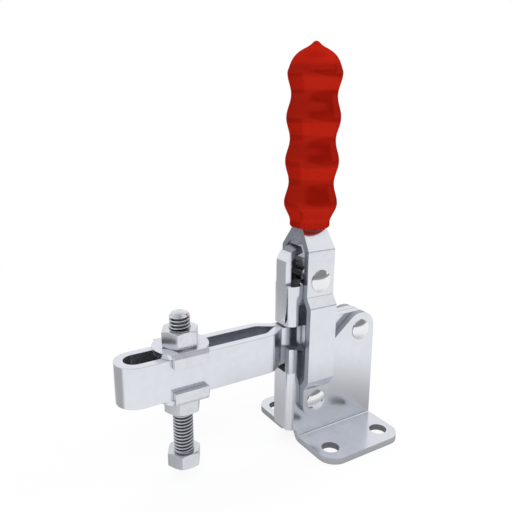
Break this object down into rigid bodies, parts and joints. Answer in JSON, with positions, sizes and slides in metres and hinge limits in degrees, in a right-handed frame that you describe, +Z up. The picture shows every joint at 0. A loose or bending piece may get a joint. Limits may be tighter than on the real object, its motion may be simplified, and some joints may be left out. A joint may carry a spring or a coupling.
{
  "type": "toggle clamp",
  "caption": "Vertical-handle hold-down toggle clamp: folded steel base and levers, slotted arm with a hex spindle and a ribbed moulded hand grip.",
  "frame": {"origin": "middle of the four mounting holes, on the underside of the base flanges", "axes": "+Z up out of the mounting face, arm and spindle towards -X, +Y to the left when looking from the arm's nose towards the base"},
  "size_m": [0.1187, 0.058, 0.1672],
  "materials": {
    "zinc_sheet": "bright zinc plate on folded sheet steel",
    "zinc_fastener": "bright zinc plated fasteners",
    "rivet_steel": "polished rivet heads and bushes",
    "red_grip": "glossy moulded plastic"
  },
  "bodies": {
    "base": {"base_frame": "zinc_sheet", "arm_rivet_left": "rivet_steel", "arm_rivet_right": "rivet_steel", "lever_sleeve": "rivet_steel"},
    "lever": {"lever_plate_left": "zinc_sheet", "lever_plate_right": "zinc_sheet", "handle_grip": "red_grip", "lever_rivet": "rivet_steel", "toggle_rivet": "rivet_steel"},
    "link": {"toggle_link": "zinc_sheet", "link_rivet": "rivet_steel"},
    "arm": {"arm_bar": "zinc_sheet", "arm_bush": "rivet_steel", "link_bush": "rivet_steel", "arm_rivet_shank": "rivet_steel"},
    "carriage": {"flanged_washer_top": "zinc_fastener", "flanged_washer_bottom": "zinc_fastener", "nut_top": "zinc_fastener", "nut_bottom": "zinc_fastener"},
    "spindle": {"spindle_bolt": "zinc_fastener"}
  },
  "joints": [
    {"name": "lever_hinge", "type": "hinge", "parent": "base", "child": "lever", "pos_m": [-0.0135, 0, 0.0197], "axis": [0, 1, 0], "range_deg": [0, 60]},
    {"name": "link_hinge", "type": "hinge", "parent": "lever", "child": "link", "pos_m": [-0.01275, 0, 0.07369], "axis": [0, 1, 0], "range_deg": [0, 91.5]},
    {"name": "arm_hinge", "type": "hinge", "parent": "link", "child": "arm", "pos_m": [-0.01275, 0, 0.046], "axis": [0, 1, 0], "range_deg": [-44.2, 0]},
    {"name": "spindle_slide", "type": "slide", "parent": "arm", "child": "carriage", "axis": [1, 0, 0], "range_m": [-0.017, 0.03]},
    {"name": "spindle_height", "type": "slide", "parent": "carriage", "child": "spindle", "axis": [0, 0, 1], "range_m": [-0.005, 0.0175]}
  ],
  "couplings": [
    {"joint": "link_hinge", "follows": "lever_hinge", "ratio": 1.525},
    {"joint": "arm_hinge", "follows": "lever_hinge", "ratio": -0.73564}
  ]
}
